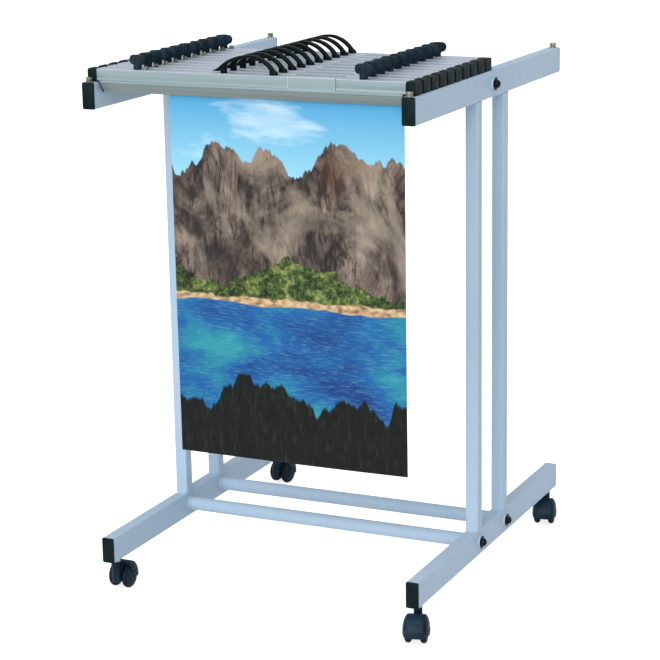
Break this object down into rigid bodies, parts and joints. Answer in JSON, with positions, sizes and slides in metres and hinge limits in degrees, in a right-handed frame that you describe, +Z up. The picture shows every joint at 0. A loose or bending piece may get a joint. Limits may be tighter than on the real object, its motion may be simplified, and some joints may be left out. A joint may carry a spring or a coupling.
{
  "type": "sheet hanging trolley",
  "caption": "Wheeled front-loading trolley with two H-shaped side frames on twin-wheel casters and a row of clamp binders across its arms, the front one holding a large print.",
  "frame": {"origin": "on the floor under the middle of the trolley", "axes": "+Z up, -Y the front where binders are loaded, +X to the right seen from the front"},
  "size_m": [0.6972, 0.8268, 1.0595],
  "materials": {
    "frame_paint": "satin powder coat, light blue-grey",
    "aluminium": "satin anodised",
    "aluminium_bright": "bright edged",
    "black_plastic": "satin moulded",
    "caster_plastic": "smooth moulded",
    "black_bolt": "black oxide",
    "brass": "dull passivated",
    "steel": "zinc plated",
    "print_sheet": "semi-gloss photographic paper"
  },
  "bodies": {
    "frame": {"foot_left": "frame_paint", "foot_right": "frame_paint", "uprights_left": "frame_paint", "uprights_right": "frame_paint", "arm_left": "frame_paint", "arm_right": "frame_paint", "tie_bar": "frame_paint", "rail_front": "frame_paint", "rail_rear": "frame_paint", "rail_plugs": "steel", "bolt_cups": "steel", "frame_bolts": "black_bolt", "arm_end_caps": "black_plastic", "foot_end_caps": "black_plastic", "stop_studs": "brass", "caster_sockets": "black_plastic", "caster_stems": "steel"},
    "caster_fl": {"hood_fl": "caster_plastic"},
    "wheelset_fl": {"axle_fl": "steel", "wheels_fl": "caster_plastic"},
    "caster_fr": {"hood_fr": "caster_plastic"},
    "wheelset_fr": {"axle_fr": "steel", "wheels_fr": "caster_plastic"},
    "caster_rl": {"hood_rl": "caster_plastic"},
    "wheelset_rl": {"axle_rl": "steel", "wheels_rl": "caster_plastic"},
    "caster_rr": {"hood_rr": "caster_plastic"},
    "wheelset_rr": {"axle_rr": "steel", "wheels_rr": "caster_plastic"},
    "binder_1": {"channel_1": "aluminium", "end_caps_1": "black_plastic", "handle_1": "black_plastic", "label_holder_1": "aluminium_bright", "guide_screws_1": "brass", "springs_1": "steel"},
    "jaw_front": {"jaw_front_1": "aluminium"},
    "jaw_rear": {"jaw_rear_1": "aluminium"},
    "studs": {"lift_studs_1": "steel"},
    "knob_left": {"knob_left_1": "black_plastic"},
    "knob_right": {"knob_right_1": "black_plastic"},
    "print": {"print": "print_sheet"},
    "binder_2": {"binder_2": "aluminium"},
    "clamp_2": {"clamp_2": "aluminium"},
    "binder_3": {"binder_3": "aluminium"},
    "clamp_3": {"clamp_3": "aluminium"},
    "binder_4": {"binder_4": "aluminium"},
    "clamp_4": {"clamp_4": "aluminium"},
    "binder_5": {"binder_5": "aluminium"},
    "clamp_5": {"clamp_5": "aluminium"},
    "binder_6": {"binder_6": "aluminium"},
    "clamp_6": {"clamp_6": "aluminium"},
    "binder_7": {"binder_7": "aluminium"},
    "clamp_7": {"clamp_7": "aluminium"},
    "binder_8": {"binder_8": "aluminium"},
    "clamp_8": {"clamp_8": "aluminium"},
    "binder_9": {"binder_9": "aluminium"},
    "clamp_9": {"clamp_9": "aluminium"},
    "binder_10": {"binder_10": "aluminium"},
    "clamp_10": {"clamp_10": "aluminium"}
  },
  "joints": [
    {"name": "swivel_fl", "type": "hinge", "parent": "frame", "child": "caster_fl", "pos_m": [-0.32288, -0.35668, 0.06], "axis": [0, 0, 1], "continuous": true},
    {"name": "roll_fl", "type": "hinge", "parent": "caster_fl", "child": "wheelset_fl", "pos_m": [-0.32245, -0.33218, 0.024], "axis": [0.9998, -0.0175, 0], "continuous": true},
    {"name": "swivel_fr", "type": "hinge", "parent": "frame", "child": "caster_fr", "pos_m": [0.31512, -0.35668, 0.06], "axis": [0, 0, 1], "continuous": true},
    {"name": "roll_fr", "type": "hinge", "parent": "caster_fr", "child": "wheelset_fr", "pos_m": [0.32146, -0.38034, 0.024], "axis": [-0.9659, -0.2588, 0], "continuous": true},
    {"name": "swivel_rl", "type": "hinge", "parent": "frame", "child": "caster_rl", "pos_m": [-0.32288, 0.35732, 0.06], "axis": [0, 0, 1], "continuous": true},
    {"name": "roll_rl", "type": "hinge", "parent": "caster_rl", "child": "wheelset_rl", "pos_m": [-0.31905, 0.38152, 0.024], "axis": [0.9877, -0.1564, 0], "continuous": true},
    {"name": "swivel_rr", "type": "hinge", "parent": "frame", "child": "caster_rr", "pos_m": [0.31512, 0.35732, 0.06], "axis": [0, 0, 1], "continuous": true},
    {"name": "roll_rr", "type": "hinge", "parent": "caster_rr", "child": "wheelset_rr", "pos_m": [0.32063, 0.33345, 0.024], "axis": [-0.9744, -0.225, 0], "continuous": true},
    {"name": "binder_1_lift", "type": "slide", "parent": "frame", "child": "binder_1", "axis": [0, 0, 1], "range_m": [0, 0.06]},
    {"name": "knob_left_turn", "type": "hinge", "parent": "binder_1", "child": "knob_left", "pos_m": [-0.23288, -0.35468, 1.03], "axis": [0, 0, 1], "range_deg": [-1440, 0]},
    {"name": "knob_right_turn", "type": "hinge", "parent": "binder_1", "child": "knob_right", "pos_m": [0.21912, -0.35468, 1.03], "axis": [0, 0, 1], "range_deg": [-1440, 0]},
    {"name": "studs_rise", "type": "slide", "parent": "binder_1", "child": "studs", "axis": [0, 0, 1], "range_m": [0, 0.004], "deforming": ["springs_1"]},
    {"name": "jaw_front_open", "type": "slide", "parent": "binder_1", "child": "jaw_front", "axis": [0, -0.3404, 0.9403], "range_m": [0, 0.00425]},
    {"name": "jaw_rear_open", "type": "slide", "parent": "binder_1", "child": "jaw_rear", "axis": [0, 0.3404, 0.9403], "range_m": [0, 0.00425]},
    {"name": "print_pull", "type": "slide", "parent": "binder_1", "child": "print", "axis": [0, 0, -1], "range_m": [0, 0.03]},
    {"name": "binder_2_slide", "type": "slide", "parent": "frame", "child": "binder_2", "axis": [0, 1, 0], "range_m": [-0.0065, 0.0065]},
    {"name": "clamp_2_lift", "type": "slide", "parent": "binder_2", "child": "clamp_2", "axis": [0, 0, 1], "range_m": [0, 0.004]},
    {"name": "binder_3_slide", "type": "slide", "parent": "frame", "child": "binder_3", "axis": [0, 1, 0], "range_m": [-0.0065, 0.0065]},
    {"name": "clamp_3_lift", "type": "slide", "parent": "binder_3", "child": "clamp_3", "axis": [0, 0, 1], "range_m": [0, 0.004]},
    {"name": "binder_4_slide", "type": "slide", "parent": "frame", "child": "binder_4", "axis": [0, 1, 0], "range_m": [-0.0065, 0.0065]},
    {"name": "clamp_4_lift", "type": "slide", "parent": "binder_4", "child": "clamp_4", "axis": [0, 0, 1], "range_m": [0, 0.004]},
    {"name": "binder_5_slide", "type": "slide", "parent": "frame", "child": "binder_5", "axis": [0, 1, 0], "range_m": [-0.0065, 0.0065]},
    {"name": "clamp_5_lift", "type": "slide", "parent": "binder_5", "child": "clamp_5", "axis": [0, 0, 1], "range_m": [0, 0.004]},
    {"name": "binder_6_slide", "type": "slide", "parent": "frame", "child": "binder_6", "axis": [0, 1, 0], "range_m": [-0.0065, 0.0065]},
    {"name": "clamp_6_lift", "type": "slide", "parent": "binder_6", "child": "clamp_6", "axis": [0, 0, 1], "range_m": [0, 0.004]},
    {"name": "binder_7_slide", "type": "slide", "parent": "frame", "child": "binder_7", "axis": [0, 1, 0], "range_m": [-0.0065, 0.0065]},
    {"name": "clamp_7_lift", "type": "slide", "parent": "binder_7", "child": "clamp_7", "axis": [0, 0, 1], "range_m": [0, 0.004]},
    {"name": "binder_8_slide", "type": "slide", "parent": "frame", "child": "binder_8", "axis": [0, 1, 0], "range_m": [-0.0065, 0.0065]},
    {"name": "clamp_8_lift", "type": "slide", "parent": "binder_8", "child": "clamp_8", "axis": [0, 0, 1], "range_m": [0, 0.004]},
    {"name": "binder_9_slide", "type": "slide", "parent": "frame", "child": "binder_9", "axis": [0, 1, 0], "range_m": [-0.0065, 0.0065]},
    {"name": "clamp_9_lift", "type": "slide", "parent": "binder_9", "child": "clamp_9", "axis": [0, 0, 1], "range_m": [0, 0.004]},
    {"name": "binder_10_slide", "type": "slide", "parent": "frame", "child": "binder_10", "axis": [0, 1, 0], "range_m": [-0.0065, 0.368]},
    {"name": "clamp_10_lift", "type": "slide", "parent": "binder_10", "child": "clamp_10", "axis": [0, 0, 1], "range_m": [0, 0.004]}
  ],
  "couplings": [
    {"joint": "jaw_rear_open", "follows": "jaw_front_open", "ratio": 1},
    {"joint": "studs_rise", "follows": "jaw_front_open", "ratio": 0.9402},
    {"joint": "knob_left_turn", "follows": "jaw_front_open", "rad_per_m": -5907.4},
    {"joint": "knob_right_turn", "follows": "jaw_front_open", "rad_per_m": -5907.4}
  ]
}
